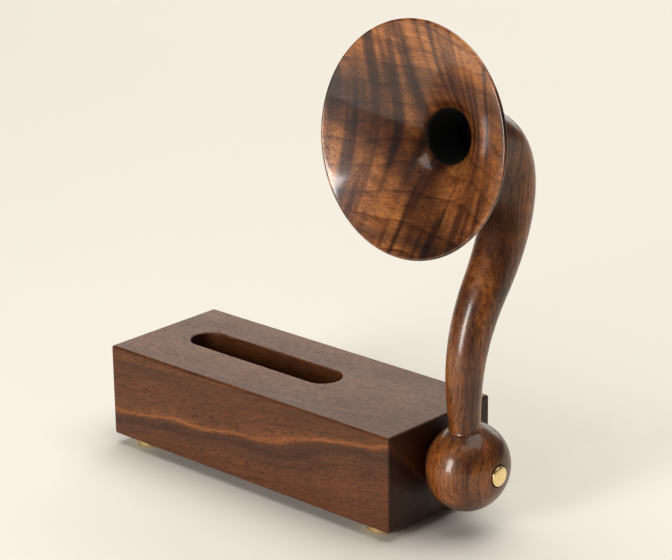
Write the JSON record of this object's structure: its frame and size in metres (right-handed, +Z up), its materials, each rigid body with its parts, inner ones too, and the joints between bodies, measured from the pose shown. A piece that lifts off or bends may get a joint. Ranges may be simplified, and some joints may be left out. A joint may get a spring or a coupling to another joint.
{
  "type": "phone amplifier with horn",
  "caption": "Passive wooden phone amplifier: oblong walnut block with a phone slot on brass feet, and a curved horn with a flared bell tilting on a ball at one end.",
  "frame": {"origin": "middle of the whole object's bounding box, on the surface that the feet stand on", "axes": "+X along the block towards the horn's end, +Y towards the back, away from the bell's mouth, +Z up"},
  "size_m": [0.2308, 0.0794, 0.2256],
  "materials": {
    "base_walnut": "oiled walnut, satin, straight to wavy grain along the length",
    "horn_walnut": "oiled walnut, satin, darker, grain along the neck",
    "bell_walnut": "oiled figured walnut, semi-gloss, rippled grain across the bell",
    "brass": "turned and polished brass",
    "steel": "plain steel",
    "pad_rubber": "matt dark rubber",
    "fibre": "dark vulcanised fibre, matt"
  },
  "bodies": {
    "base": {"base_block": "base_walnut", "bottom_panel": "base_walnut", "panel_screw_1": "brass", "panel_screw_2": "brass", "panel_screw_3": "brass", "panel_screw_4": "brass", "panel_screw_5": "brass", "panel_screw_6": "brass", "foot_1": "brass", "foot_screw_1": "steel", "foot_pad_1": "pad_rubber", "foot_2": "brass", "foot_screw_2": "steel", "foot_pad_2": "pad_rubber", "foot_3": "brass", "foot_screw_3": "steel", "foot_pad_3": "pad_rubber", "foot_4": "brass", "foot_screw_4": "steel", "foot_pad_4": "pad_rubber", "pivot_sleeve": "brass", "pivot_bolt": "brass", "spring_washer": "steel", "friction_washer": "fibre"},
    "horn": {"horn_ball": "horn_walnut", "neck_right": "horn_walnut", "neck_left": "horn_walnut", "horn_bell": "bell_walnut"}
  },
  "joints": [
    {"name": "horn_tilt", "type": "hinge", "parent": "base", "child": "horn", "pos_m": [0.06825, 0.0036, 0.0298], "axis": [1, 0, 0], "range_deg": [-85, 80]}
  ]
}
